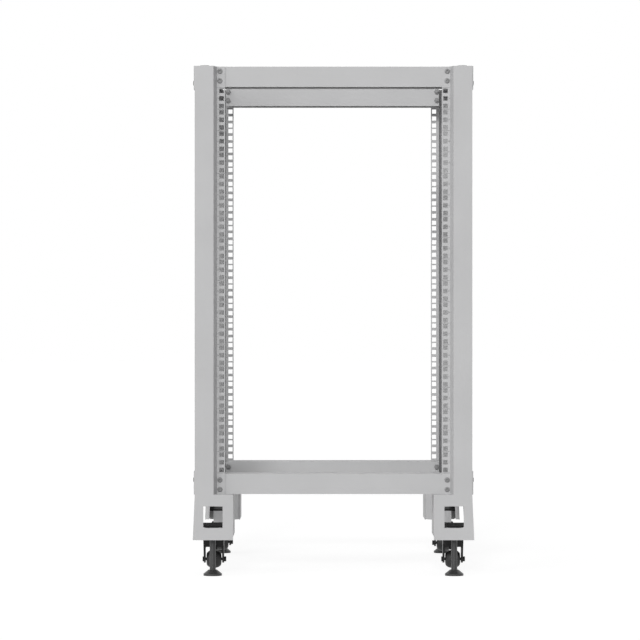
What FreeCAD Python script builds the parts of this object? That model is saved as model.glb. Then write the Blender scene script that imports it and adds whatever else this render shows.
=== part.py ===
import FreeCAD, Part
import os
import re
import Sketcher

# Four post open frame rack, 18 rack units, with a caster and a levelling foot at each corner.
# +Z is up and the front faces -Y. The origin is on the floor, midway between the posts.
# Each corner piece is drawn once for the rear right corner, where X and Y are positive,
# and mirrored to the other three.

SIZES = [
    # Rack units and their square holes
    ("unit_pitch", 44.45, "height of one rack unit"),
    ("unit_count", 18, "rack units between the cross bars"),
    ("first_hole", 6.35, "foot of a unit to the centre of its first hole"),
    ("hole_pitch", 15.875, "between the three holes of a unit"),
    ("hole_side", 9.5, "side of a square hole"),
    ("hole_inset", 7.15, "inner edge of a mounting flange to the column of holes"),
    # Posts
    ("rail_face", 300, "mid plane to the mounting face of a post"),
    ("opening_half", 225.4, "mid plane to the inner edge of a mounting flange"),
    ("flange_width", 16.7, "mounting flange, inner edge to the slanted wall"),
    ("step_run", 6.4, "slanted wall, across"),
    ("step_depth", 18, "slanted wall, from the mounting face out to the post's face"),
    ("face_width", 39, "flat face of a post"),
    ("post_depth", 70, "outer wall of a post, front to back"),
    ("post_lip", 15, "return along the back of a post"),
    ("post_gauge", 2, "sheet of the posts"),
    ("cap_radius", 12, "low cap on a post's top"),
    ("cap_height", 3.7, "that cap"),
    ("cap_bevel", 2.5, "upper edge of that cap"),
    # Cross bars and side rails
    ("bar_height", 42, "cross bar"),
    ("bar_depth", 60, "cross bar, front to back"),
    ("bar_gauge", 2, "sheet of the cross bars"),
    ("bar_lip", 9, "returns along the open underside of a cross bar"),
    ("bar_gap", 2, "cross bar to the nearest rack unit"),
    ("bar_end_gap", 1, "end of a cross bar to the slanted wall of its post"),
    ("side_height", 48, "side rail"),
    ("side_flange", 25, "side rail, flanges between the posts"),
    ("side_gauge", 2, "sheet of the side rails"),
    ("side_inset", 2, "end of a side rail, back from the post's face"),
    ("side_clearance", 2, "side rail flanges to the posts' lips"),
    # Legs
    ("leg_clear", 75, "floor to the foot of a leg"),
    ("leg_height", 94.3, "foot of a leg to the foot of its post"),
    ("leg_reach", 17.4, "edge of the opening in to a leg's inner cheek"),
    ("leg_flare", 4, "how far the outer cheek spreads towards its foot"),
    ("leg_taper", 5, "how far the outer cheek closes in towards the open side"),
    ("leg_depth", 117, "cheeks, front to back"),
    ("leg_gauge", 2, "sheet of the legs"),
    ("cheek_rise", 7, "foot of a leg's face to the foot of its cheeks"),
    ("corner_run", 13, "cut corners at the foot of a rear leg's face, across"),
    ("window_reach", 24.35, "edge of the opening out to the middle of a leg's window"),
    ("window_width", 40, "window in a leg"),
    ("window_height", 44.6, "window in a leg"),
    ("window_low", 25.4, "foot of a leg to its window"),
    ("mount_half", 17, "half the width of the channel that carries the caster and the foot"),
    ("mount_height", 26, "that channel"),
    ("mount_depth", 105, "that channel and the shelf over it, front to back"),
    ("mount_wall", 3, "wall of that channel"),
    ("shelf_thickness", 3, "shelf between the cheeks, over that channel"),
    ("shelf_gap", 0.2, "ends of the shelf to the cheeks"),
    # Casters
    ("caster_reach", 25.6, "edge of the opening out to the casters and feet"),
    ("swivel_inset", 82.5, "post's face to the swivel axis"),
    ("fork_half", 21.35, "middle of a fork to its outer face"),
    ("fork_gauge", 4, "fork plates"),
    ("crown_height", 12.7, "crown of a fork"),
    ("swivel_gap", 0.3, "crown to the channel above, and under the kingpin's nut"),
    ("kingpin_radius", 5.5, "kingpin that the fork turns on"),
    ("kingpin_clearance", 0.4, "round the kingpin"),
    ("kingpin_flats", 17, "nut of the kingpin, across its flats"),
    ("kingpin_nut_height", 4, "nut of the kingpin"),
    ("trail", 14, "swivel axis to the axle"),
    ("fork_front", 15, "swivel axis to the leading edge of a fork plate"),
    ("fork_back", 20, "swivel axis to the trailing edge of a fork plate"),
    ("fork_round", 8, "rounded foot of a fork plate"),
    ("wheel_radius", 19, "wheel"),
    ("wheel_lift", 9.5, "floor to the wheel, with the feet wound down"),
    ("tread_half", 15.5, "half the width of the tyre"),
    ("axle_radius", 3, "axle bolt"),
    ("axle_clearance", 0.3, "round the axle bolt in the wheel"),
    ("axle_flats", 10, "head and nut of the axle bolt, across their flats"),
    ("axle_head_height", 2.5, "head of the axle bolt"),
    ("axle_nut_height", 4.4, "nut of the axle bolt"),
    # Levelling feet
    ("foot_inset", 24, "post's face to the axis of a foot"),
    ("foot_radius", 19.3, "pad of a foot"),
    ("foot_rim", 4, "rim of the pad"),
    ("foot_height", 12, "pad with its cone"),
    ("neck_radius", 9, "top of the cone"),
    ("stem_radius", 6.25, "threaded stem"),
    ("stem_clearance", 0.4, "round the stem in the channel"),
    ("stem_top", 86, "floor to the top of the stem"),
]

# Heights and widths that follow from those sizes
POST_LOW = "(leg_clear + leg_height)"
UNITS_LOW = f"({POST_LOW} + bar_height + bar_gap)"
UNITS_HIGH = f"({UNITS_LOW} + unit_count * unit_pitch)"
POST_HIGH = f"({UNITS_HIGH} + bar_gap + bar_height)"
FLANGE_OUTER = "(opening_half + flange_width)"
STEP_OUTER = f"({FLANGE_OUTER} + step_run)"
POST_OUTER = f"({STEP_OUTER} + face_width)"
FACE = "(rail_face + step_depth)"
AXLE_HEIGHT = "(wheel_lift + wheel_radius)"
CROWN_LOW = "(leg_clear - swivel_gap - crown_height)"
HOLE_COLUMN = "(opening_half + hole_inset)"
LEG_INNER = "(opening_half - leg_reach)"
WINDOW_CENTRE = "(opening_half + window_reach)"
CASTER_COLUMN = "(opening_half + caster_reach)"
SHELF_HIGH = "(mount_height + shelf_thickness)"

FUNCTIONS = {"sqrt"}

doc = FreeCAD.newDocument("four_post_open_frame_rack")
sizes = doc.addObject("Spreadsheet::Sheet", "Sizes")
for row, (alias, number, note) in enumerate(SIZES, start=1):
    sizes.set(f"A{row}", note)
    sizes.set(f"B{row}", str(number))
    sizes.setAlias(f"B{row}", alias)
doc.recompute()

nodes = []


def sheet(text):
    """The expression with each size's name pointed at the sheet."""
    return re.sub(r"[a-z]\w*", lambda m: m[0] if m[0] in FUNCTIONS else "Sizes." + m[0], text)


def value(text):
    """What an expression in the sheet's sizes comes to."""
    return float(sizes.evalExpression(sheet(text)))


def new_body(label, x="0", y="0", z="0", yaw=0):
    """A body whose own origin stands at x, y, z and is turned about Z."""
    body = doc.addObject("PartDesign::Body", label)
    body.Placement = FreeCAD.Placement(FreeCAD.Vector(), FreeCAD.Rotation(FreeCAD.Vector(0, 0, 1), yaw))
    for axis, text in zip("xyz", (x, y, z)):
        if text != "0":
            body.setExpression(f"Placement.Base.{axis}", sheet(text))
    return body


def new_sketch(body, name, plane, height="0"):
    """A sketch on one of the body's origin planes, moved along that plane's normal."""
    sketch = body.newObject("Sketcher::SketchObject", f"{body.Name}_{name}")
    sketch.AttachmentSupport = [(f, "") for f in body.Origin.OriginFeatures if f.Role == plane]
    sketch.MapMode = "FlatFace"
    if height != "0":
        sketch.setExpression("AttachmentOffset.Base.z", sheet(height))
    return sketch


def hold(sketch, kind, *where, at):
    """One dimension of a sketch, bound to the sheet."""
    index = sketch.addConstraint(Sketcher.Constraint(kind, *where, value(at)))
    sketch.setExpression(f"Constraints[{index}]", sheet(at))


def outline(sketch, corners):
    """A closed outline of straight lines through corners, each measured from the sketch's origin."""
    first = sketch.GeometryCount
    count = len(corners)
    points = [FreeCAD.Vector(value(across), value(along), 0) for across, along in corners]
    for index in range(count):
        sketch.addGeometry(Part.LineSegment(points[index], points[(index + 1) % count]), False)
    for index in range(count):
        sketch.addConstraint(
            Sketcher.Constraint("Coincident", first + index, 2, first + (index + 1) % count, 1))
    for index, (across, along) in enumerate(corners):
        hold(sketch, "DistanceX", -1, 1, first + index, 1, at=across)
        hold(sketch, "DistanceY", -1, 1, first + index, 1, at=along)


def rectangle(sketch, left, right, low, high):
    outline(sketch, [(left, low), (right, low), (right, high), (left, high)])


def hexagon(sketch, across, along, flats):
    """Hexagon about a centre, with two corners level with it."""
    corner = f"({flats} / sqrt(3))"
    outline(sketch, [
        (f"{across} + {corner}", along),
        (f"{across} + {corner} / 2", f"{along} + {flats} / 2"),
        (f"{across} - {corner} / 2", f"{along} + {flats} / 2"),
        (f"{across} - {corner}", along),
        (f"{across} - {corner} / 2", f"{along} - {flats} / 2"),
        (f"{across} + {corner} / 2", f"{along} - {flats} / 2"),
    ])


def circle(sketch, across, along, radius):
    centre = FreeCAD.Vector(value(across), value(along), 0)
    index = sketch.addGeometry(Part.Circle(centre, FreeCAD.Vector(0, 0, 1), value(radius)), False)
    hold(sketch, "DistanceX", -1, 1, index, 3, at=across)
    hold(sketch, "DistanceY", -1, 1, index, 3, at=along)
    hold(sketch, "Radius", index, at=radius)


def feature(body, kind, sketch, **settings):
    """A feature from a sketch. A length is an expression; other settings are set as they are."""
    made = body.newObject(f"PartDesign::{kind}", f"{sketch.Name}_{kind.lower()}")
    made.Profile = sketch
    for name, setting in settings.items():
        if name == "Length":
            made.setExpression(name, sheet(setting))
        else:
            setattr(made, name, setting)
    sketch.Visibility = False
    return made


def revolved(body, sketch, axis):
    """A full turn of a sketch about its own H_Axis or V_Axis."""
    return feature(body, "Revolution", sketch, ReferenceAxis=(sketch, [axis]), Angle=360)


def keep(thing, label):
    """Hand a finished piece over as a node of that name."""
    thing.Label = label
    nodes.append(thing)


def mirrored(source, name, normal):
    copy = doc.addObject("Part::Mirroring", name)
    copy.Source = source
    copy.Normal = normal
    return copy


def on_four_corners(master, name):
    """Keep the rear right piece and mirror it to the other corners."""
    keep(master, f"{name}_rear_right")
    rear_left = mirrored(master, f"{name}_rl", (1, 0, 0))
    keep(rear_left, f"{name}_rear_left")
    keep(mirrored(master, f"{name}_fr", (0, 1, 0)), f"{name}_front_right")
    keep(mirrored(rear_left, f"{name}_fl", (0, 1, 0)), f"{name}_front_left")


def post():
    """Folded post: mounting flange, slanted wall, face, outer wall and lip, closed at both ends."""
    body = new_body("post", z=POST_LOW)
    height = f"({POST_HIGH} - {POST_LOW})"
    back = f"({FACE} - post_depth)"
    # The inside of the slanted wall is the outside moved across by the gauge over its cosine.
    shift = "(post_gauge * (sqrt(step_depth ^ 2 + step_run ^ 2) - step_run) / step_depth)"
    profile = new_sketch(body, "profile", "XY_Plane")
    outline(profile, [
        ("opening_half", "rail_face"),
        (FLANGE_OUTER, "rail_face"),
        (STEP_OUTER, FACE),
        (POST_OUTER, FACE),
        (POST_OUTER, back),
        (f"{POST_OUTER} - post_lip", back),
        (f"{POST_OUTER} - post_lip", f"{back} + post_gauge"),
        (f"{POST_OUTER} - post_gauge", f"{back} + post_gauge"),
        (f"{POST_OUTER} - post_gauge", f"{FACE} - post_gauge"),
        (f"{STEP_OUTER} + {shift}", f"{FACE} - post_gauge"),
        (f"{FLANGE_OUTER} + {shift}", "rail_face - post_gauge"),
        ("opening_half", "rail_face - post_gauge"),
    ])
    feature(body, "Pad", profile, Length=height)
    for name, low in (("foot_plate", "0"), ("top_plate", f"{height} - post_gauge")):
        plate = new_sketch(body, name, "XY_Plane", low)
        rectangle(plate, f"{STEP_OUTER} + {shift}", f"{POST_OUTER} - post_gauge",
                  f"{back} + post_gauge", f"{FACE} - post_gauge")
        feature(body, "Pad", plate, Length="post_gauge")
    return body


def drill_post(body):
    """Square holes, three to a unit."""
    holes = new_sketch(body, "unit_holes", "XZ_Plane", "-rail_face")
    for step in range(3):
        centre = f"(bar_height + bar_gap + first_hole + {step} * hole_pitch)"
        rectangle(holes, f"{HOLE_COLUMN} - hole_side / 2", f"{HOLE_COLUMN} + hole_side / 2",
                  f"{centre} - hole_side / 2", f"{centre} + hole_side / 2")
    cut = feature(body, "Pocket", holes, Length="post_gauge * 2", SideType="Symmetric")
    units = body.newObject("PartDesign::LinearPattern", f"{body.Name}_units")
    units.Originals = [cut]
    units.Direction = (holes, ["V_Axis"])
    units.setExpression("Length", sheet("(unit_count - 1) * unit_pitch"))
    units.setExpression("Occurrences", sheet("unit_count"))
    body.Tip = units


def four_alike(master, name):
    """Keep the rear right piece and its three mirror images as one node."""
    left = mirrored(master, f"{name}_rl", (1, 0, 0))
    right = mirrored(master, f"{name}_fr", (0, 1, 0))
    front = mirrored(left, f"{name}_fl", (0, 1, 0))
    four = doc.addObject("Part::Compound", f"{name}_four")
    four.Links = [master, left, right, front]
    keep(four, name)


def post_cap():
    """Low cap in the middle of a post's top."""
    body = new_body("post_cap", f"{POST_OUTER} - face_width / 2", f"{FACE} - post_depth / 2", POST_HIGH)
    half = new_sketch(body, "half", "XZ_Plane")
    outline(half, [
        ("0", "0"),
        ("cap_radius", "0"),
        ("cap_radius", "cap_height - cap_bevel"),
        ("cap_radius - cap_bevel", "cap_height"),
        ("0", "cap_height"),
    ])
    revolved(body, half, "V_Axis")
    return body


def cross_bar(level, low):
    """Channel with its open side down, its ends behind the mounting flanges of two posts."""
    body = new_body(f"{level}_bar", z=low)
    outer = "(rail_face - post_gauge)"
    inner = f"({outer} - bar_depth)"
    profile = new_sketch(body, "profile", "YZ_Plane")
    outline(profile, [
        (outer, "0"),
        (outer, "bar_height"),
        (inner, "bar_height"),
        (inner, "0"),
        (f"{inner} + bar_lip", "0"),
        (f"{inner} + bar_lip", "bar_gauge"),
        (f"{inner} + bar_gauge", "bar_gauge"),
        (f"{inner} + bar_gauge", "bar_height - bar_gauge"),
        (f"{outer} - bar_gauge", "bar_height - bar_gauge"),
        (f"{outer} - bar_gauge", "bar_gauge"),
        (f"{outer} - bar_lip", "bar_gauge"),
        (f"{outer} - bar_lip", "0"),
    ])
    feature(body, "Pad", profile, SideType="Symmetric", Length=f"2 * ({FLANGE_OUTER} - bar_end_gap)")
    keep(body, f"{level}_bar_rear")
    keep(mirrored(body, f"{level}_front", (0, 1, 0)), f"{level}_bar_front")


def side_rail(level, low):
    """Web outside two posts, with flanges turned in where it runs between them."""
    body = new_body(f"{level}_side_rail", z=low)
    outer = f"({POST_OUTER} + side_gauge)"
    web = new_sketch(body, "web", "XZ_Plane")
    rectangle(web, POST_OUTER, outer, "0", "side_height")
    feature(body, "Pad", web, SideType="Symmetric", Length=f"2 * ({FACE} - side_inset)")
    channel = new_sketch(body, "channel", "XZ_Plane")
    edge = f"({POST_OUTER} - side_flange)"
    outline(channel, [
        (edge, "0"),
        (outer, "0"),
        (outer, "side_height"),
        (edge, "side_height"),
        (edge, "side_height - side_gauge"),
        (POST_OUTER, "side_height - side_gauge"),
        (POST_OUTER, "side_gauge"),
        (edge, "side_gauge"),
    ])
    feature(body, "Pad", channel, SideType="Symmetric",
            Length=f"2 * ({FACE} - post_depth - side_clearance)")
    keep(body, f"{level}_side_rail_right")
    keep(mirrored(body, f"{level}_left", (1, 0, 0)), f"{level}_side_rail_left")


def outer_cheek(depth, height):
    """Outside of the flared cheek, at a depth behind the leg's face and a height above its foot."""
    flare = f"leg_flare * (leg_height - ({height})) / leg_height"
    return f"({POST_OUTER} + {flare} - leg_taper * ({depth}) / leg_depth)"


def between_cheeks(sketch, low, high, depth, inset):
    """Outline from cheek to cheek, set in from their outsides."""
    outline(sketch, [
        (f"{LEG_INNER} + {inset}", low),
        (f"{outer_cheek(depth, low)} - {inset}", low),
        (f"{outer_cheek(depth, high)} - {inset}", high),
        (f"{LEG_INNER} + {inset}", high),
    ])


def loft(body, kind, name, low, high, depths, inset):
    """Straight sided loft between two depths behind the leg's face."""
    ends = []
    for place, depth in zip(("face", "back"), depths):
        end = new_sketch(body, f"{name}_{place}", "XZ_Plane", f"-({FACE} - ({depth}))")
        between_cheeks(end, low, high, depth, inset)
        ends.append(end)
    made = body.newObject(f"PartDesign::{kind}Loft", f"{body.Name}_{name}")
    made.Profile = ends[0]
    made.Sections = [ends[1]]
    made.Ruled = True
    for end in ends:
        end.Visibility = False


def leg(name):
    """Folded leg: a windowed face, two cheeks and a top, open towards the middle of the rack."""
    body = new_body(name, z="leg_clear")
    loft(body, "Additive", "outside", "0", "leg_height", ("0", "leg_depth"), "0")
    loft(body, "Subtractive", "inside", "0", "leg_height - leg_gauge", ("leg_gauge", "leg_depth"), "leg_gauge")
    cheek_feet = new_sketch(body, "cheek_feet", "YZ_Plane")
    rectangle(cheek_feet, f"{FACE} - leg_depth", f"{FACE} - leg_gauge", "0", "cheek_rise")
    feature(body, "Pocket", cheek_feet, Type="ThroughAll", SideType="Symmetric")
    window = new_sketch(body, "window", "XZ_Plane", f"-{FACE}")
    rectangle(window, f"{WINDOW_CENTRE} - window_width / 2", f"{WINDOW_CENTRE} + window_width / 2",
              "window_low", "window_low + window_height")
    feature(body, "Pocket", window, Reversed=True, Length="leg_gauge")
    return body


def cut_corners(body):
    """The lower corners of a leg's face, cut up to the feet of its cheeks."""
    corners = new_sketch(body, "corners", "XZ_Plane", f"-{FACE}")
    outline(corners, [
        (LEG_INNER, "0"),
        (f"{LEG_INNER} + corner_run", "0"),
        (LEG_INNER, "cheek_rise"),
    ])
    outer = outer_cheek("0", "0")
    outline(corners, [
        (outer, "0"),
        (outer, "cheek_rise"),
        (outer_cheek("0", "cheek_rise"), "cheek_rise"),
        (f"{outer} - corner_run", "0"),
    ])
    feature(body, "Pocket", corners, Reversed=True, Length="leg_gauge")


def caster_mount():
    """Channel up the middle of a leg, closed at one end, holed for the foot's stem and the kingpin."""
    body = new_body("caster_mount", z="leg_clear")
    face = f"({FACE} - leg_gauge)"
    outside = new_sketch(body, "outside", "XZ_Plane", f"-{face}")
    rectangle(outside, f"{CASTER_COLUMN} - mount_half", f"{CASTER_COLUMN} + mount_half", "0", "mount_height")
    feature(body, "Pad", outside, Length="mount_depth")
    inside = new_sketch(body, "inside", "XZ_Plane", f"-{face}")
    rectangle(inside, f"{CASTER_COLUMN} - mount_half + mount_wall", f"{CASTER_COLUMN} + mount_half - mount_wall",
              "mount_wall", "mount_height")
    feature(body, "Pocket", inside, Reversed=True, Length="mount_depth - mount_wall")
    holes = new_sketch(body, "holes", "XY_Plane")
    circle(holes, CASTER_COLUMN, f"{FACE} - foot_inset", "stem_radius + stem_clearance")
    circle(holes, CASTER_COLUMN, f"{FACE} - swivel_inset", "kingpin_radius + kingpin_clearance")
    feature(body, "Pocket", holes, Reversed=True, Length="mount_wall")
    return body


def mount_shelf():
    """Plate over the channel, from cheek to cheek."""
    body = new_body("mount_shelf", z="leg_clear + mount_height")
    plan = new_sketch(body, "plan", "XY_Plane")
    inset = "(leg_gauge + shelf_gap)"
    front, back = "leg_gauge", "(leg_gauge + mount_depth)"
    outline(plan, [
        (f"{LEG_INNER} + {inset}", f"{FACE} - {front}"),
        (f"{outer_cheek(front, SHELF_HIGH)} - {inset}", f"{FACE} - {front}"),
        (f"{outer_cheek(back, SHELF_HIGH)} - {inset}", f"{FACE} - {back}"),
        (f"{LEG_INNER} + {inset}", f"{FACE} - {back}"),
    ])
    feature(body, "Pad", plan, Length="shelf_thickness")
    return body


def fork(corner, x, y, yaw):
    """Crown under its channel on a kingpin, with two plates down to the axle bolt."""
    body = new_body(f"caster_fork_{corner}", x, y, yaw=yaw)
    crown = new_sketch(body, "crown", "XY_Plane", CROWN_LOW)
    rectangle(crown, "-fork_half", "fork_half", "-fork_front", "fork_back")
    feature(body, "Pad", crown, Length="crown_height")
    kingpin = new_sketch(body, "kingpin", "XY_Plane", f"{CROWN_LOW} + crown_height")
    circle(kingpin, "0", "0", "kingpin_radius")
    feature(body, "Pad", kingpin, Length="mount_wall + 2 * swivel_gap")
    lock = new_sketch(body, "kingpin_nut", "XY_Plane", "leg_clear + mount_wall + swivel_gap")
    hexagon(lock, "0", "0", "kingpin_flats")
    feature(body, "Pad", lock, Length="kingpin_nut_height")
    plate = new_sketch(body, "plate", "YZ_Plane", "fork_half - fork_gauge")
    fork_plate(plate)
    plate_pad = feature(body, "Pad", plate, Length="fork_gauge")
    pair = body.newObject("PartDesign::Mirrored", f"{body.Name}_pair")
    pair.Originals = [plate_pad]
    pair.MirrorPlane = (next(f for f in body.Origin.OriginFeatures if f.Role == "YZ_Plane"), [""])
    body.Tip = pair
    axle = new_sketch(body, "axle", "YZ_Plane")
    circle(axle, "trail", AXLE_HEIGHT, "axle_radius")
    feature(body, "Pad", axle, SideType="Symmetric", Length="2 * fork_half")
    nut = new_sketch(body, "axle_nut", "YZ_Plane", "fork_half")
    hexagon(nut, "trail", AXLE_HEIGHT, "axle_flats")
    feature(body, "Pad", nut, Length="axle_nut_height")
    head = new_sketch(body, "axle_head", "YZ_Plane", "-fork_half")
    hexagon(head, "trail", AXLE_HEIGHT, "axle_flats")
    feature(body, "Pad", head, Reversed=True, Length="axle_head_height")
    keep(body, f"caster_fork_{corner}")


def fork_plate(sketch):
    """Straight edges from the crown, tangent to the round foot about the axle."""
    top = f"({CROWN_LOW} + crown_height / 2)"
    front = FreeCAD.Vector(-value("fork_front"), value(top), 0)
    back = FreeCAD.Vector(value("fork_back"), value(top), 0)
    centre = FreeCAD.Vector(value("trail"), value(AXLE_HEIGHT), 0)
    radius = value("fork_round")
    left = centre + FreeCAD.Vector(-radius, 0, 0)
    right = centre + FreeCAD.Vector(radius, 0, 0)
    low = centre - FreeCAD.Vector(0, radius, 0)
    sketch.addGeometry(Part.LineSegment(back, front), False)
    sketch.addGeometry(Part.LineSegment(front, left), False)
    sketch.addGeometry(Part.Arc(left, low, right), False)
    sketch.addGeometry(Part.LineSegment(right, back), False)
    sketch.addConstraint(Sketcher.Constraint("Coincident", 0, 2, 1, 1))
    sketch.addConstraint(Sketcher.Constraint("Coincident", 3, 2, 0, 1))
    hold(sketch, "DistanceX", -1, 1, 2, 3, at="trail")
    hold(sketch, "DistanceY", -1, 1, 2, 3, at=AXLE_HEIGHT)
    hold(sketch, "Radius", 2, at="fork_round")
    hold(sketch, "DistanceX", -1, 1, 0, 2, at="-fork_front")
    hold(sketch, "DistanceY", -1, 1, 0, 2, at=top)
    hold(sketch, "DistanceX", -1, 1, 0, 1, at="fork_back")
    hold(sketch, "DistanceY", -1, 1, 0, 1, at=top)
    sketch.addConstraint(Sketcher.Constraint("Tangent", 1, 2, 2, 1))
    sketch.addConstraint(Sketcher.Constraint("Tangent", 2, 2, 3, 1))


def wheel(corner, x, y, yaw):
    """Flat tyre bored for its axle bolt."""
    body = new_body(f"caster_wheel_{corner}", x, y, AXLE_HEIGHT, yaw)
    half = new_sketch(body, "half", "XZ_Plane")
    rectangle(half, "-tread_half", "tread_half", "axle_radius + axle_clearance", "wheel_radius")
    revolved(body, half, "H_Axis")
    keep(body, f"caster_wheel_{corner}")


def levelling_foot(corner, x, y):
    """Coned pad on a plain round stem."""
    body = new_body(f"levelling_foot_{corner}", x, y)
    half = new_sketch(body, "half", "XZ_Plane")
    outline(half, [
        ("0", "0"),
        ("foot_radius", "0"),
        ("foot_radius", "foot_rim"),
        ("neck_radius", "foot_height"),
        ("stem_radius", "foot_height"),
        ("stem_radius", "stem_top"),
        ("0", "stem_top"),
    ])
    revolved(body, half, "V_Axis")
    keep(body, f"levelling_foot_{corner}")


def wheel_set(corner, side, end, yaw):
    """One caster and one levelling foot. side and end are -1 or 1, towards +X and +Y."""
    x = f"{side} * {CASTER_COLUMN}"
    swivel = f"{end} * ({FACE} - swivel_inset)"
    behind = -1 if yaw else 1
    across = f"({swivel} + {behind} * trail)"
    fork(corner, x, swivel, yaw)
    wheel(corner, x, across, yaw)
    levelling_foot(corner, x, f"{end} * ({FACE} - foot_inset)")


def checked():
    """Stop if any object failed, or any node is empty or not a sound solid."""
    for thing in doc.Objects:
        if {"Invalid", "Error"} & set(thing.State):
            raise RuntimeError(f"{thing.Label}: {thing.State}")
    for node in nodes:
        if node.Shape.isNull() or not node.Shape.isValid() or not node.Shape.Solids:
            raise RuntimeError(f"{node.Label} has no sound solid")


rear_right_post = post()
drill_post(rear_right_post)
on_four_corners(rear_right_post, "post")
four_alike(post_cap(), "post_caps")
cross_bar("top", f"{UNITS_HIGH} + bar_gap")
cross_bar("bottom", POST_LOW)
side_rail("top", f"{POST_HIGH} - side_height")
side_rail("bottom", POST_LOW)
front_leg = leg("front_leg")
rear_leg = leg("rear_leg")
cut_corners(rear_leg)
keep(rear_leg, "leg_rear_right")
keep(mirrored(rear_leg, "leg_rl", (1, 0, 0)), "leg_rear_left")
front_right_leg = mirrored(front_leg, "leg_fr", (0, 1, 0))
keep(front_right_leg, "leg_front_right")
keep(mirrored(front_right_leg, "leg_fl", (1, 0, 0)), "leg_front_left")
four_alike(caster_mount(), "caster_mounts")
on_four_corners(mount_shelf(), "mount_shelf")
wheel_set("front_left", -1, -1, 0)
wheel_set("front_right", 1, -1, 0)
wheel_set("rear_left", -1, 1, 0)
wheel_set("rear_right", 1, 1, 180)
doc.recompute()
checked()
os.makedirs("parts", exist_ok=True)
for node in nodes:
    node.Shape.exportStep(f"parts/{node.Label}.step")
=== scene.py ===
import math

import bmesh
import bpy
from mathutils import Matrix, Vector

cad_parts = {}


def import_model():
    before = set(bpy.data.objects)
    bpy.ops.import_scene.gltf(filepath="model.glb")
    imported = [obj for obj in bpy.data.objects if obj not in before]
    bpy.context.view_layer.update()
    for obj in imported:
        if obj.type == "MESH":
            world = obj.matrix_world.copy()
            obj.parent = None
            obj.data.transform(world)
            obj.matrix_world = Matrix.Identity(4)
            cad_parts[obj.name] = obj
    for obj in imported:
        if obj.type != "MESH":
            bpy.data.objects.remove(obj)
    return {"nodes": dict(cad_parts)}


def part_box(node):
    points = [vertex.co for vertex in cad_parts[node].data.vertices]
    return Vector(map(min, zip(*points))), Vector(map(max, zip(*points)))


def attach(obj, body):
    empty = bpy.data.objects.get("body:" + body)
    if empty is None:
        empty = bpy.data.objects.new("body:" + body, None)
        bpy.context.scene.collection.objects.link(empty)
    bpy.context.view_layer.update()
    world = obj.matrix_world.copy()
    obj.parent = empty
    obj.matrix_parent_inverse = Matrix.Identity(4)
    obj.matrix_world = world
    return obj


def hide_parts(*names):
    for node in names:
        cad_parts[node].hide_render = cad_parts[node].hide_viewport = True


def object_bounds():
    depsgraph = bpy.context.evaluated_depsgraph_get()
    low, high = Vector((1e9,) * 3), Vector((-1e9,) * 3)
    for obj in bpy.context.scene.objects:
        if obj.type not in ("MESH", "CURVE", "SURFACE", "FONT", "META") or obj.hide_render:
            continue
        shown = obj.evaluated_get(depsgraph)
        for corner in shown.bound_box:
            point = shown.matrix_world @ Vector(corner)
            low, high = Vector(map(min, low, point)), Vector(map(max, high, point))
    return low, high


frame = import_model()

# Finish, fasteners, the casters' treads and webs, threads, leg returns, unit marks, light and camera for the
# open frame rack.
# All lengths are in metres, in the rack's own frame: +Z up, the front faces -Y.

CAD_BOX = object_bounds()
NODES = frame["nodes"]
CORNERS = ("front_left", "front_right", "rear_left", "rear_right")

UNIT = 0.04445                 # one rack unit
UNIT_COUNT = 18
POST_GAUGE = 0.002             # sheet of the posts, and so of their mounting flanges
LEG_GAUGE = 0.002              # sheet of the legs

# ---------------------------------------------------------------- materials

BLEND_FROM = 0.3               # noise below this gives the first end of a blend
BLEND_TO = 0.7                 # and above this its second end
SHADE_SCALE = 9.0              # noise scales: changes of shade and of gloss over a piece
GLOSS_SCALE = 60.0
NOISE_DETAIL = 3.0
GRAIN_DETAIL = 2.0
GRAIN_STRENGTH = 0.25
BLUE_SHARE = 1.01              # blue against red and green in every grey


def set_input(node, name, value):
    node.inputs[name].default_value = value


def cleared_tree(owner):
    """The empty node tree of a material or a world."""
    owner.use_nodes = True
    owner.node_tree.nodes.clear()
    return owner.node_tree


def noise(tree, coordinates, scale, detail=NOISE_DETAIL):
    node = tree.nodes.new("ShaderNodeTexNoise")
    set_input(node, "Scale", scale)
    set_input(node, "Detail", detail)
    tree.links.new(coordinates, node.inputs["Vector"])
    return node.outputs["Fac"]


def ramp(tree, factor, first, second):
    """Blend between two colours as a factor goes from BLEND_FROM to BLEND_TO."""
    node = tree.nodes.new("ShaderNodeValToRGB")
    ends = node.color_ramp.elements
    for end, position, colour in zip(ends, (BLEND_FROM, BLEND_TO), (first, second)):
        end.position = position
        end.color = (*colour, 1)
    tree.links.new(factor, node.inputs["Fac"])
    return node.outputs["Color"]


def bump(tree, shader, height, strength, distance):
    node = tree.nodes.new("ShaderNodeBump")
    set_input(node, "Strength", strength)
    set_input(node, "Distance", distance)
    tree.links.new(height, node.inputs["Height"])
    tree.links.new(node.outputs["Normal"], shader.inputs["Normal"])


def grey(level):
    return (level, level, level * BLUE_SHARE)


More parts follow.
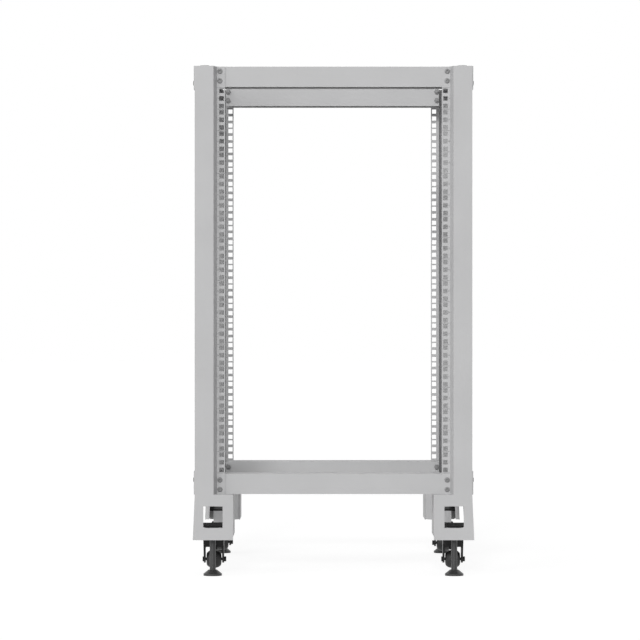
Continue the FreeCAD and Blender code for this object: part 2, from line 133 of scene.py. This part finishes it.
def finish_material(name, levels, rough, grain, grain_depth, metallic=0.0, specular=0.5):
    """A coated or moulded surface: shade and gloss vary a little between two ends, over a fine grain."""
    material = bpy.data.materials.new(name)
    tree = cleared_tree(material)
    output = tree.nodes.new("ShaderNodeOutputMaterial")
    shader = tree.nodes.new("ShaderNodeBsdfPrincipled")
    tree.links.new(shader.outputs["BSDF"], output.inputs["Surface"])
    where = tree.nodes.new("ShaderNodeTexCoord").outputs["Object"]
    dark, light = levels
    shade = ramp(tree, noise(tree, where, SHADE_SCALE), grey(dark), grey(light))
    tree.links.new(shade, shader.inputs["Base Color"])
    smooth, matt = rough
    gloss = ramp(tree, noise(tree, where, GLOSS_SCALE), (smooth,) * 3, (matt,) * 3)
    tree.links.new(gloss, shader.inputs["Roughness"])
    bump(tree, shader, noise(tree, where, grain, GRAIN_DETAIL), GRAIN_STRENGTH, grain_depth)
    set_input(shader, "Metallic", metallic)
    set_input(shader, "Specular IOR Level", specular)
    return material


POWDER = finish_material("powder_coat_grey", (0.425, 0.450), (0.42, 0.52), 1400, 0.00010)
BLACK = finish_material("black_steel", (0.006, 0.012), (0.32, 0.46), 900, 0.00012, specular=0.3)
SCREW = finish_material("plated_screw", (0.21, 0.26), (0.42, 0.52), 900, 0.00004, metallic=0.1)
NUT = finish_material("plated_nut", (0.19, 0.23), (0.40, 0.50), 900, 0.00004, metallic=0.3)
# painted shade: the side screws' heads are coloured near black for the shade that falls on them
PAINTED_SHADE_SCREW = finish_material("painted_shade_screw", (0.030, 0.045), (0.40, 0.50), 900, 0.00004)
SHELF = finish_material("black_shelf", (0.010, 0.018), (0.50, 0.62), 900, 0.00012, specular=0.03)
RUBBER = finish_material("wheel_rubber", (0.012, 0.020), (0.45, 0.62), 500, 0.00020, specular=0.4)
FOOT = finish_material("foot_black", (0.020, 0.034), (0.30, 0.42), 800, 0.00008)
MARK = finish_material("mark_grey", (0.12, 0.15), (0.50, 0.60), 900, 0.00004)


def dress(material, *prefixes):
    """Give one material to every CAD node whose name starts with one of the prefixes."""
    for name, node in NODES.items():
        if name.startswith(prefixes):
            node.data.materials.clear()
            node.data.materials.append(material)


# ---------------------------------------------------------------- making a piece

SHARP_ANGLE = math.radians(35)  # edges that bend more than this stay sharp


def add_object(name, data):
    item = bpy.data.objects.new(name, data)
    bpy.context.scene.collection.objects.link(item)
    return item


def add_mesh(name, mesh, body, material):
    """A new piece that rides on a body and takes its finish from a slot."""
    piece = add_object(name, mesh)
    mesh.materials.append(material)
    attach(piece, body)
    return piece


def mesh_data(name, mesh):
    """Turn a bmesh into mesh data."""
    data = bpy.data.meshes.new(name)
    mesh.to_mesh(data)
    mesh.free()
    return data


def finished_mesh(name, mesh):
    """Turn a bmesh into mesh data, smooth but for its sharp edges."""
    mesh.normal_update()
    data = mesh_data(name, mesh)
    for face in data.polygons:
        face.use_smooth = True
    data.set_sharp_from_angle(angle=SHARP_ANGLE)
    return data


def join_rings(mesh, lower, upper):
    """Faces between two rings with the same number of corners."""
    for step in range(len(lower)):
        after = (step + 1) % len(lower)
        mesh.faces.new((lower[step], lower[after], upper[after], upper[step]))


def ring_points(radius, height, steps):
    """Points round a circle about +Z."""
    angles = [2 * math.pi * step / steps for step in range(steps)]
    return [Vector((radius * math.cos(angle), radius * math.sin(angle), height)) for angle in angles]


def turned(mesh, profile, steps, place):
    """Add the solid that a profile of (radius, height) points sweeps about its own axis."""
    rings = []
    for radius, height in profile:
        points = ring_points(radius, height, steps) if radius else [Vector((0, 0, height))]
        rings.append([mesh.verts.new(place @ point) for point in points])
    for lower, upper in zip(rings, rings[1:]):
        if len(lower) == len(upper):
            join_rings(mesh, lower, upper)
            continue
        for step in range(steps):
            after = (step + 1) % steps
            if len(lower) == 1:
                mesh.faces.new((lower[0], upper[after], upper[step]))
            else:
                mesh.faces.new((lower[step], lower[after], upper[0]))


def facing(direction):
    """A turn that points the +Z of a small piece along a direction."""
    return Vector((0, 0, 1)).rotation_difference(Vector(direction)).to_matrix().to_4x4()


def corner_signs(corner):
    """-1 or 1 towards +X and towards +Y."""
    return (1 if "right" in corner else -1), (1 if "rear" in corner else -1)


# ---------------------------------------------------------------- screws and nuts

SCREW_STEPS = 24                   # sides of round heads, bolts and bosses
HEAD_RADIUS = 0.0053
HEAD_HEIGHT = 0.0034               # of the whole dome, whose top the socket's rim cuts off
DOME_FOOT = 0.25                   # share of the head's height where its dome starts
DOME_STEPS = (0, 14, 28, 40, 50)   # degrees round the dome, from its foot to the rim of the socket
SOCKET_SHARE = 0.85                # socket's corners against that rim
SOCKET_DEPTH = 0.8                 # share of the rim's height
HEXAGON = 6
HALF_SIXTH = math.pi / HEXAGON     # corner of a hexagon to the middle of its side
NUT_FLATS = 0.010
NUT_HEIGHT = 0.005
NUT_SHOULDER = 0.85                # share of the nut's height where its chamfer starts
NUT_TOP = 0.9                      # share of its width left on top
BOLT_RADIUS = 0.003
BOLT_SHOULDER = 1.25               # end of the bolt's straight part and its tip, in heights of the nut
BOLT_TIP = 1.4
TIP_SHARE = 0.8                    # tip's radius against the bolt's


def button_screw(mesh, at, direction, radius=HEAD_RADIUS, height=HEAD_HEIGHT):
    """Domed head with a hexagon socket, standing on a surface."""
    place = Matrix.Translation(at) @ facing(direction)
    dome = [(radius * math.cos(angle), height * (DOME_FOOT + (1 - DOME_FOOT) * math.sin(angle)))
            for angle in (math.radians(degrees) for degrees in DOME_STEPS)]
    socket_rim, top = dome[-1]
    turned(mesh, [(0, 0), (radius, 0)] + dome, SCREW_STEPS, place)
    rim = mesh.verts[-SCREW_STEPS:]
    inner = []
    floor = []
    for step in range(SCREW_STEPS):
        angle = 2 * math.pi * step / SCREW_STEPS
        hexagon = math.cos(HALF_SIXTH) / math.cos((angle % (2 * HALF_SIXTH)) - HALF_SIXTH)
        reach = SOCKET_SHARE * socket_rim * hexagon
        spot = Vector((reach * math.cos(angle), reach * math.sin(angle), top))
        inner.append(mesh.verts.new(place @ spot))
        floor.append(mesh.verts.new(place @ (spot - Vector((0, 0, SOCKET_DEPTH * top)))))
    join_rings(mesh, rim, inner)
    join_rings(mesh, inner, floor)
    mesh.faces.new(floor)


def hexagon_nut(mesh, at, direction):
    """Nut with chamfered corners on a surface, and the rounded end of its bolt."""
    place = Matrix.Translation(at) @ facing(direction)
    corner = NUT_FLATS / 2 / math.cos(HALF_SIXTH)
    shape = [(corner, 0), (corner, NUT_SHOULDER * NUT_HEIGHT), (NUT_TOP * corner, NUT_HEIGHT),
             (BOLT_RADIUS, NUT_HEIGHT)]
    rings = [[mesh.verts.new(place @ point) for point in ring_points(reach, height, HEXAGON)]
             for reach, height in shape]
    for lower, upper in zip(rings, rings[1:]):
        join_rings(mesh, lower, upper)
    bolt_end = [(0, 0), (BOLT_RADIUS, 0), (BOLT_RADIUS, BOLT_SHOULDER * NUT_HEIGHT),
                (TIP_SHARE * BOLT_RADIUS, BOLT_TIP * NUT_HEIGHT), (0, BOLT_TIP * NUT_HEIGHT)]
    turned(mesh, bolt_end, SCREW_STEPS, place)


BAR_SCREW_COLUMN = 0.2360      # mid plane to the screws through the ends of a cross bar
BAR_SCREW_OUT = 0.0098         # edge of a cross bar away from the units to its nearer screw
BAR_SCREW_IN = 0.0124          # edge of a cross bar next to the units to its nearer screw


def bar_screws():
    """Two bolts through each end of each cross bar: heads on the flange, nuts on the bar's far wall."""
    for level in ("top", "bottom"):
        low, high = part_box(f"{level}_bar_front")
        below, above = (BAR_SCREW_IN, BAR_SCREW_OUT) if level == "top" else (BAR_SCREW_OUT, BAR_SCREW_IN)
        flange = abs(low.y) + POST_GAUGE
        for corner in CORNERS:
            side, end = corner_signs(corner)
            heads = bmesh.new()
            nuts = bmesh.new()
            for height in (low.z + below, high.z - above):
                column = side * BAR_SCREW_COLUMN
                button_screw(heads, Vector((column, end * flange, height)), (0, end, 0))
                hexagon_nut(nuts, Vector((column, end * abs(high.y), height)), (0, -end, 0))
            add_mesh(f"bar_screws_{level}_{corner}", finished_mesh("bar_screws", heads),
                     "frame", SCREW)
            add_mesh(f"bar_nuts_{level}_{corner}", finished_mesh("bar_nuts", nuts),
                     "frame", NUT)


SIDE_SCREW_INSET = (0.016, 0.050)   # end of a side rail to its two screws
SIDE_SCREW_DROP = 0.0345            # top of an upper side rail to its screws
SIDE_SCREW_RISE = 0.0300            # foot of a lower side rail to its screws
SIDE_HEAD = (0.0055, 0.0020)        # radius and height of their heads


def side_screws():
    """Two screws through each end of each side rail, from outside, their heads coloured dark as painted
    shade.
    """
    for level in ("top", "bottom"):
        for corner in CORNERS:
            side, end = corner_signs(corner)
            low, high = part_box(f"{level}_side_rail_{'right' if side > 0 else 'left'}")
            outside = high.x if side > 0 else low.x
            height = high.z - SIDE_SCREW_DROP if level == "top" else low.z + SIDE_SCREW_RISE
            mesh = bmesh.new()
            for inset in SIDE_SCREW_INSET:
                spot = Vector((outside, end * (high.y - inset), height))
                button_screw(mesh, spot, (side, 0, 0), *SIDE_HEAD)
            # the dark finish on these heads is painted shade
            add_mesh(f"side_screws_{level}_{corner}", finished_mesh("side_screws", mesh),
                     "frame", PAINTED_SHADE_SCREW)


# ---------------------------------------------------------------- wheels

WHEEL_STEPS = 56
CROWN_STEPS = 14
WHEEL_SHOULDER = 0.0095        # radius where the crowned tread ends
CROWN_POWER = 2.1              # 2 is an ellipse, more is squarer
SIDE_RECESS = 0.0012           # hollow in each side of the wheel
HUB_RADIUS = 0.0062
WHEEL_BORE = 0.0033
SAME_POINT = 1e-7              # points nearer than this are one


def crowned_wheels():
    """Tyres with a crowned tread and a hub in the hollow of each side, in place of the plain wheels."""
    for corner in CORNERS:
        low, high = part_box(f"caster_wheel_{corner}")
        half = (high.x - low.x) / 2
        radius = (high.z - low.z) / 2
        tread = []
        for step in range(CROWN_STEPS + 1):
            across = -math.cos(math.pi * step / CROWN_STEPS)
            fall = (1 - abs(across) ** CROWN_POWER) ** (1 / CROWN_POWER)
            tread.append((WHEEL_SHOULDER + (radius - WHEEL_SHOULDER) * fall, half * across))
        hollow = half - SIDE_RECESS
        flank = [(WHEEL_SHOULDER - SIDE_RECESS, hollow), (HUB_RADIUS + SIDE_RECESS, hollow),
                 (HUB_RADIUS, half), (WHEEL_BORE, half)]
        back = [(reach, -across) for reach, across in flank[::-1]]
        mesh = bmesh.new()
        place = Matrix.Translation((low + high) / 2) @ facing((1, 0, 0))
        turned(mesh, tread + flank + back + tread[:1], WHEEL_STEPS, place)
        bmesh.ops.remove_doubles(mesh, verts=mesh.verts, dist=SAME_POINT)
        bmesh.ops.recalc_face_normals(mesh, faces=mesh.faces)
        piece = add_mesh(f"tyre_{corner}", finished_mesh("tyre", mesh),
                         f"wheel_{corner}", RUBBER)
        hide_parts(f"caster_wheel_{corner}")


# ---------------------------------------------------------------- under the forks' crowns

CROWN_FOOT = 0.0620            # floor to the underside of a fork's crown
WEB_DROP = 0.0065              # web under the crown, between the plates
WEB_ROUND = 0.0030             # its rounding into the plates
WEB_STEPS = 5                  # steps in that rounding
WEB_INSET = 0.0030             # its ends, in from the crown's
BOSS_DROP = 0.0125             # kingpin's boss under the crown
BOSS_RADII = (0.0088, 0.0075)  # at the crown and at its foot
SWIVEL_INSET = 0.0825          # post's face to the swivel axis
FORK_FRONT = 0.015             # swivel axis to the leading edge of a fork's crown
FORK_BACK = 0.020              # and to its trailing edge
WHEEL_TO_PLATE = 0.00185       # side of a wheel to the fork's plate


def web_outline(half):
    """Section of a web from plate to plate, with its lower corners rounded: across and height."""
    foot = CROWN_FOOT - WEB_DROP
    outline = [(half, CROWN_FOOT), (half, foot - WEB_ROUND)]
    for step in range(1, WEB_STEPS + 1):
        angle = math.pi / 2 * step / WEB_STEPS
        outline.append((half - WEB_ROUND * (1 - math.cos(angle)), foot - WEB_ROUND * (1 - math.sin(angle))))
    return outline + [(-across, height) for across, height in outline[::-1]]


def crown_webs():
    """Web from plate to plate under each fork's crown, and the boss of its kingpin."""
    for corner in CORNERS:
        end = corner_signs(corner)[1]
        low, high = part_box(f"caster_wheel_{corner}")
        middle = (low.x + high.x) / 2
        outline = web_outline((high.x - low.x) / 2 + WHEEL_TO_PLATE)
        swivel = end * (CAD_BOX[1][1] - SWIVEL_INSET)
        behind = 1 if (low.y + high.y) / 2 > swivel else -1   # +Y or -Y, to where the wheel trails
        ends = (swivel - behind * (FORK_FRONT - WEB_INSET), swivel + behind * (FORK_BACK - WEB_INSET))
        mesh = bmesh.new()
        rings = [[mesh.verts.new((middle + across, place, height)) for across, height in outline]
                 for place in ends]
        for ring in rings:
            mesh.faces.new(ring)
        join_rings(mesh, *rings)
        wide, narrow = BOSS_RADII
        turned(mesh, [(0, 0), (wide, 0), (narrow, BOSS_DROP), (0, BOSS_DROP)], SCREW_STEPS,
               Matrix.Translation((middle, swivel, CROWN_FOOT)) @ facing((0, 0, -1)))
        bmesh.ops.recalc_face_normals(mesh, faces=mesh.faces)
        add_mesh(f"crown_web_{corner}", finished_mesh("crown_web", mesh),
                 f"swivel_{corner}", BLACK)


# ---------------------------------------------------------------- threads

THREAD_PITCH = 0.00175
THREAD_STEPS = 20              # to a turn
THREAD_ROOT = 0.0062           # radii of the ridge at its foot and at its crest
THREAD_CREST = 0.0065
THREAD_SPREAD = 0.42           # half the width of its foot, in pitches
THREAD_LOW = 0.0135            # floor to the start of the thread
THREAD_END = 0.0020            # thread to the top of the stem


def stem_threads():
    """A helical ridge up the stem of each levelling foot."""
    ridge = ((THREAD_ROOT, -THREAD_SPREAD), (THREAD_CREST, 0), (THREAD_ROOT, THREAD_SPREAD))
    for corner in CORNERS:
        low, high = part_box(f"levelling_foot_{corner}")
        centre = (low + high) / 2
        mesh = bmesh.new()
        before = None
        for step in range(int((high.z - THREAD_END - THREAD_LOW) / THREAD_PITCH * THREAD_STEPS)):
            angle = 2 * math.pi * step / THREAD_STEPS
            height = THREAD_LOW + THREAD_PITCH * step / THREAD_STEPS
            section = [mesh.verts.new((centre.x + reach * math.cos(angle), centre.y + reach * math.sin(angle),
                                       height + rise * THREAD_PITCH)) for reach, rise in ridge]
            if before:
                join_rings(mesh, section, before)
            else:
                mesh.faces.new(section)
            before = section
        mesh.faces.new(before[::-1])
        bmesh.ops.recalc_face_normals(mesh, faces=mesh.faces)
        add_mesh(f"stem_thread_{corner}", finished_mesh("stem_thread", mesh),
                 f"foot_{corner}", FOOT)


# ---------------------------------------------------------------- leg returns

RETURN_BEND = 0.006            # outside radius of the fold from a cheek to its return
RETURN_STEPS = 8
INNER_RETURN = 0.019           # outside of the inner cheek to the free edge of its return
OUTER_RETURN = 0.009
RETURN_LOW = 0.0832            # foot of a return at its cheek
RETURN_SLANT = 0.0012          # how much lower the inner return's foot is at its free edge
OUTER_CHEEK_TAPER = 0.005      # how far the outer cheek closes in towards the open side
OUTER_CHEEK_FLARE = 0.004      # how far it spreads towards its foot


def fold(reach):
    """Plan of a return: across from the cheek's outside and out from its edge, outside first, then inside."""
    outside, inside = [], []
    for step in range(RETURN_STEPS + 1):
        angle = math.pi / 2 * step / RETURN_STEPS
        for line, radius in ((outside, RETURN_BEND), (inside, RETURN_BEND - LEG_GAUGE)):
            line.append((RETURN_BEND - radius * math.cos(angle), radius * math.sin(angle)))
    outside.append((reach, RETURN_BEND))
    inside.append((reach, RETURN_BEND - LEG_GAUGE))
    return outside + inside[::-1]


def leg_return(mesh, cheek_top, cheek_foot, inward, edge, out, reach):
    """Return along a cheek's open edge, folded towards the other cheek. The cheek's ends are (x, z)."""
    plan = fold(reach)
    slanted = [RETURN_LOW - RETURN_SLANT * across / INNER_RETURN for across, along in plan]
    rings = []
    for heights in (slanted, [cheek_top[1]] * len(plan)):
        ring = []
        for (across, along), height in zip(plan, heights):
            share = (height - cheek_foot[1]) / (cheek_top[1] - cheek_foot[1])
            cheek = cheek_foot[0] + share * (cheek_top[0] - cheek_foot[0])
            ring.append(mesh.verts.new((cheek + inward * across, edge + out * along, height)))
        rings.append(ring)
    join_rings(mesh, *rings)
    count = len(plan)
    for ring in rings:
        for step in range(count // 2 - 1):
            mesh.faces.new((ring[step], ring[step + 1], ring[count - 2 - step], ring[count - 1 - step]))


def leg_returns():
    """A return folded in from each cheek along the open side of each leg."""
    for corner in CORNERS:
        side, end = corner_signs(corner)
        low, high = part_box(f"leg_{corner}")
        near = min(abs(low.x), abs(high.x))
        far = max(abs(low.x), abs(high.x)) - OUTER_CHEEK_TAPER
        edge = end * min(abs(low.y), abs(high.y))
        top, foot = high.z - LEG_GAUGE, low.z
        mesh = bmesh.new()
        leg_return(mesh, (side * near, top), (side * near, foot), side, edge, -end, INNER_RETURN)
        leg_return(mesh, (side * (far - OUTER_CHEEK_FLARE), top), (side * far, foot), -side, edge, -end,
                   OUTER_RETURN)
        bmesh.ops.recalc_face_normals(mesh, faces=mesh.faces)
        add_mesh(f"leg_returns_{corner}", finished_mesh("leg_returns", mesh),
                 "frame", POWDER)


# ---------------------------------------------------------------- unit marks

MARK_PROUD = 0.00012           # how far the print stands out of a flange
LINE_WIDTH = 0.0007
LINE_FROM = 0.2262             # mid plane to the two ends of a line
LINE_TO = 0.2414
NUMBER_SIZE = 0.0046
NUMBER_COLUMN = 0.23975        # mid plane to the middle of the numbers
NUMBER_STEPS = 2               # steps in each curve of a digit


def flat_box(mesh, centre, size):
    place = Matrix.Translation(centre) @ Matrix.Diagonal((*size, 1))
    bmesh.ops.create_cube(mesh, size=1, matrix=place)


def add_number(mesh, text, at, end):
    """Plain digits, flat on the flange and upright as seen from outside."""
    curve = bpy.data.curves.new("number", "FONT")
    curve.body = text
    curve.size = NUMBER_SIZE
    curve.align_x = "CENTER"
    curve.align_y = "CENTER"
    curve.resolution_u = NUMBER_STEPS
    holder = bpy.data.objects.new("number", curve)
    flat = bpy.data.meshes.new_from_object(holder)
    turn = Matrix.Rotation(math.pi if end > 0 else 0, 4, "Z") @ Matrix.Rotation(math.pi / 2, 4, "X")
    flat.transform(Matrix.Translation(at) @ turn)
    mesh.from_mesh(flat)
    bpy.data.objects.remove(holder)
    bpy.data.curves.remove(curve)
    bpy.data.meshes.remove(flat)


def unit_marks():
    """A line at each unit boundary and the unit's number beside its middle hole, printed on each flange."""
    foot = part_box("bottom_bar_front")[1].z
    top_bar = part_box("top_bar_front")[0]
    first = foot + (top_bar.z - foot - UNIT * UNIT_COUNT) / 2
    flange = abs(top_bar.y) + POST_GAUGE
    for corner in CORNERS:
        side, end = corner_signs(corner)
        mesh = bmesh.new()
        middle = side * (LINE_FROM + LINE_TO) / 2
        for unit in range(UNIT_COUNT + 1):
            flat_box(mesh, Vector((middle, end * flange, first + unit * UNIT)),
                     (LINE_TO - LINE_FROM, 2 * MARK_PROUD, LINE_WIDTH))
        for unit in range(UNIT_COUNT):
            spot = Vector((side * NUMBER_COLUMN, end * (flange + MARK_PROUD), first + (unit + 0.5) * UNIT))
            add_number(mesh, str(unit + 1), spot, end)
        add_mesh(f"unit_marks_{corner}", finished_mesh("unit_marks", mesh), "frame", MARK)


# ---------------------------------------------------------------- stage

CAMERA_PLACE = Vector((-0.028, -6.300, 0.531))
CAMERA_LENS = 162.5                         # lens and sensor in millimetres
SENSOR = 36.0
FAR_CLIP = 100
FRONT_FROM = Vector((-0.10, -0.90, 0.42))   # towards the light in front
FRONT_ANGLE = math.radians(14)
FRONT_STRENGTH = 1.42
SIDE_FROM = Vector((-0.66, -0.66, 0.35))    # towards the light at the side
SIDE_ANGLE = math.radians(40)
SIDE_STRENGTH = 1.0
AMBIENT = 0.385                             # the room's light on the rack
ROOM_WHITE = 1.0                            # the room where it is seen directly


def camera():
    """Level and looking along +Y, at the photograph's viewing angle."""
    data = bpy.data.cameras.new("camera")
    data.lens = CAMERA_LENS
    data.sensor_width = SENSOR
    data.clip_end = FAR_CLIP
    view = add_object("camera", data)
    view.location = CAMERA_PLACE
    view.rotation_euler = (math.pi / 2, 0, 0)
    bpy.context.scene.camera = view


def soft_light(name, towards, angle, strength):
    """A distant light with soft edges to its shadows."""
    data = bpy.data.lights.new(name, "SUN")
    data.angle = angle
    data.energy = strength
    add_object(name, data).rotation_euler = towards.to_track_quat("Z", "Y").to_euler()


def seen_directly(tree):
    """1 for camera, glossy and transmission rays, 0 for the rays that light things."""
    path = tree.nodes.new("ShaderNodeLightPath")
    total = path.outputs["Is Camera Ray"]
    for name in ("Is Glossy Ray", "Is Transmission Ray"):
        largest = tree.nodes.new("ShaderNodeMath")
        largest.operation = "MAXIMUM"
        tree.links.new(total, largest.inputs[0])
        tree.links.new(path.outputs[name], largest.inputs[1])
        total = largest.outputs[0]
    return total


def show_by_ray(tree, output_kind, lighting, seen):
    """Use one shader for the rays that light things and the other where it is seen directly."""
    mix = tree.nodes.new("ShaderNodeMixShader")
    output = tree.nodes.new(output_kind)
    tree.links.new(seen_directly(tree), mix.inputs["Fac"])
    tree.links.new(lighting, mix.inputs[1])
    tree.links.new(seen, mix.inputs[2])
    tree.links.new(mix.outputs[0], output.inputs["Surface"])


def background(tree, strength):
    node = tree.nodes.new("ShaderNodeBackground")
    set_input(node, "Color", (1, 1, 1, 1))
    set_input(node, "Strength", strength)
    return node.outputs[0]


def world():
    """An even grey room that looks white where it is seen directly."""
    room = bpy.data.worlds.new("room")
    tree = cleared_tree(room)
    show_by_ray(tree, "ShaderNodeOutputWorld", background(tree, AMBIENT), background(tree, ROOM_WHITE))
    bpy.context.scene.world = room


FLOOR_HALF = 30.0
FLOOR_COLOUR = 0.80            # for the light that it throws back at the rack
FLOOR_SHARE = 0.25             # how much of the light and shadow on it is seen
FLOOR_GLOW = 0.85              # its own light where it is seen


def diffuse(tree, level):
    node = tree.nodes.new("ShaderNodeBsdfDiffuse")
    set_input(node, "Color", (level, level, level, 1))
    return node.outputs[0]


def floor():
    """A pale floor that keeps a faint shadow and meets the white room with no line."""
    mesh = bmesh.new()
    bmesh.ops.create_grid(mesh, x_segments=1, y_segments=1, size=FLOOR_HALF)
    plane = add_object("floor", mesh_data("floor", mesh))
    material = bpy.data.materials.new("floor")
    tree = cleared_tree(material)
    glow = tree.nodes.new("ShaderNodeEmission")
    set_input(glow, "Strength", FLOOR_GLOW)
    seen = tree.nodes.new("ShaderNodeAddShader")
    tree.links.new(diffuse(tree, FLOOR_SHARE), seen.inputs[0])
    tree.links.new(glow.outputs[0], seen.inputs[1])
    show_by_ray(tree, "ShaderNodeOutputMaterial", diffuse(tree, FLOOR_COLOUR), seen.outputs[0])
    plane.data.materials.append(material)


# ---------------------------------------------------------------- everything

dress(POWDER, "post", "top_", "bottom_", "leg", "caster_mounts")
dress(SHELF, "mount_shelf")
dress(BLACK, "caster_fork")
dress(RUBBER, "caster_wheel")
dress(FOOT, "levelling_foot")
bar_screws()
side_screws()
leg_returns()
crowned_wheels()
crown_webs()
stem_threads()
unit_marks()
camera()
soft_light("front_light", FRONT_FROM, FRONT_ANGLE, FRONT_STRENGTH)
soft_light("side_light", SIDE_FROM, SIDE_ANGLE, SIDE_STRENGTH)
world()
floor()
bpy.context.scene.view_settings.view_transform = "Standard"
